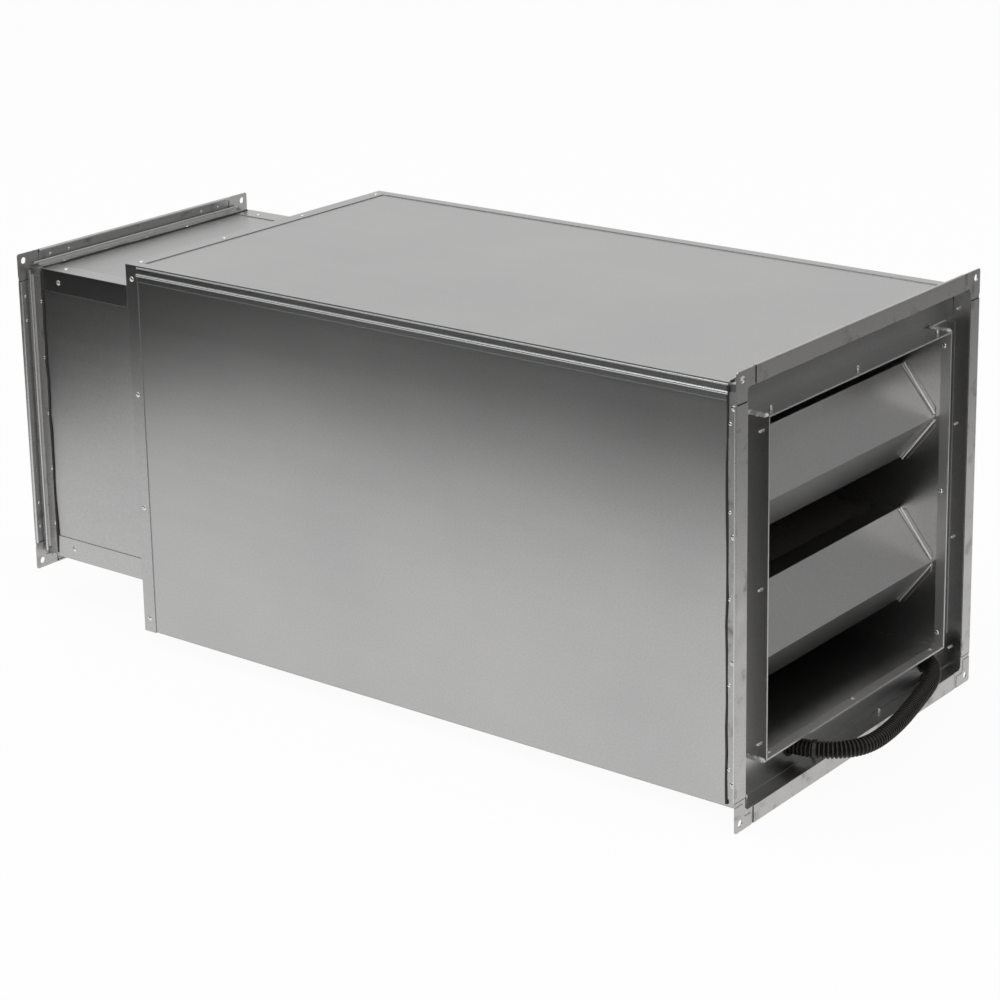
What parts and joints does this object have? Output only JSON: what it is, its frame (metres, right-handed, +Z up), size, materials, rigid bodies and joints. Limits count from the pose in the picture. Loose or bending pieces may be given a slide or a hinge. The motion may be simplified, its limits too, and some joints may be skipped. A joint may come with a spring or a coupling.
{
  "type": "volume control damper",
  "caption": "Rectangular volume control damper unit: geared opposed blades in a bare inlet duct, lagged casing with splitter silencer, slip-on flanges and a conduit loop.",
  "frame": {"origin": "centre of the inlet flange's face, on the duct's axis", "axes": "+X the way the air flows, from the inlet to the outlet; +Z up; the actuator is on the +Y wall"},
  "size_m": [1.2338, 0.605, 0.54],
  "materials": {
    "galvanised_steel": "satin galvanised sheet",
    "flange_steel": "rolled galvanised profile",
    "zinc_plated_steel": "bright zinc",
    "aluminium_sheet": "mill",
    "mineral_wool": "matt",
    "fleece": "matt",
    "white_nylon": "matt",
    "grey_plastic": "matt",
    "black_plastic": "satin",
    "conduit_plastic": "satin",
    "black_rubber": "matt"
  },
  "bodies": {
    "damper_box": {"actuator_bracket": "galvanised_steel", "actuator_housing": "grey_plastic", "blade_stops": "aluminium_sheet", "cable_tie": "black_plastic", "casing_bottom_panel": "galvanised_steel", "casing_front_panel": "galvanised_steel", "casing_rear_panel": "galvanised_steel", "casing_rivets": "zinc_plated_steel", "casing_top_panel": "galvanised_steel", "closure_bottom_strip": "galvanised_steel", "closure_front_strip": "galvanised_steel", "closure_rear_strip": "galvanised_steel", "closure_top_strip": "galvanised_steel", "collar_rivets": "zinc_plated_steel", "conduit": "conduit_plastic", "conduit_grommets": "black_rubber", "duct_bottom_panel": "galvanised_steel", "duct_corner_angles": "galvanised_steel", "duct_front_panel": "galvanised_steel", "duct_rear_panel": "galvanised_steel", "duct_top_panel": "galvanised_steel", "inlet_end_plate": "galvanised_steel", "inlet_flange_bottom_rail": "flange_steel", "inlet_flange_corners": "flange_steel", "inlet_flange_front_rail": "flange_steel", "inlet_flange_rear_rail": "flange_steel", "inlet_flange_top_rail": "flange_steel", "lower_splitter_frame": "galvanised_steel", "lower_splitter_infill": "fleece", "lower_splitter_inlet_nose": "galvanised_steel", "lower_splitter_outlet_nose": "galvanised_steel", "outlet_flange_bottom_rail": "flange_steel", "outlet_flange_corners": "flange_steel", "outlet_flange_front_rail": "flange_steel", "outlet_flange_rear_rail": "flange_steel", "outlet_flange_top_rail": "flange_steel", "shaft_bearings": "white_nylon", "upper_splitter_frame": "galvanised_steel", "upper_splitter_infill": "fleece", "upper_splitter_inlet_nose": "galvanised_steel", "upper_splitter_outlet_nose": "galvanised_steel", "wool_bottom_slab": "mineral_wool", "wool_front_slab": "mineral_wool", "wool_rear_slab": "mineral_wool", "wool_top_slab": "mineral_wool"},
    "first_blade": {"blade_1": "aluminium_sheet", "blade_1_shaft": "zinc_plated_steel", "blade_1_gear": "white_nylon"},
    "second_blade": {"blade_2": "aluminium_sheet", "blade_2_shaft": "zinc_plated_steel", "blade_2_gear": "white_nylon", "shaft_clamp": "zinc_plated_steel"},
    "third_blade": {"blade_3": "aluminium_sheet", "blade_3_shaft": "zinc_plated_steel", "blade_3_gear": "white_nylon"},
    "fourth_blade": {"blade_4": "aluminium_sheet", "blade_4_shaft": "zinc_plated_steel", "blade_4_gear": "white_nylon"},
    "release": {"release_button": "black_plastic"}
  },
  "joints": [
    {"name": "first_blade_turn", "type": "hinge", "parent": "damper_box", "child": "first_blade", "pos_m": [0.335, 0, 0.15], "axis": [0, 1, 0], "range_deg": [-90, 0]},
    {"name": "drive_blade_turn", "type": "hinge", "parent": "damper_box", "child": "second_blade", "pos_m": [0.335, 0, 0.05], "axis": [0, 1, 0], "range_deg": [0, 90]},
    {"name": "third_blade_turn", "type": "hinge", "parent": "damper_box", "child": "third_blade", "pos_m": [0.335, 0, -0.05], "axis": [0, 1, 0], "range_deg": [-90, 0]},
    {"name": "fourth_blade_turn", "type": "hinge", "parent": "damper_box", "child": "fourth_blade", "pos_m": [0.335, 0, -0.15], "axis": [0, 1, 0], "range_deg": [0, 90]},
    {"name": "release_button_press", "type": "slide", "parent": "damper_box", "child": "release", "axis": [0, -1, 0], "range_m": [0, 0.003], "stiffness_N_per_m": 300}
  ],
  "couplings": [
    {"joint": "first_blade_turn", "follows": "drive_blade_turn", "ratio": -1},
    {"joint": "third_blade_turn", "follows": "drive_blade_turn", "ratio": -1},
    {"joint": "fourth_blade_turn", "follows": "drive_blade_turn", "ratio": 1}
  ]
}
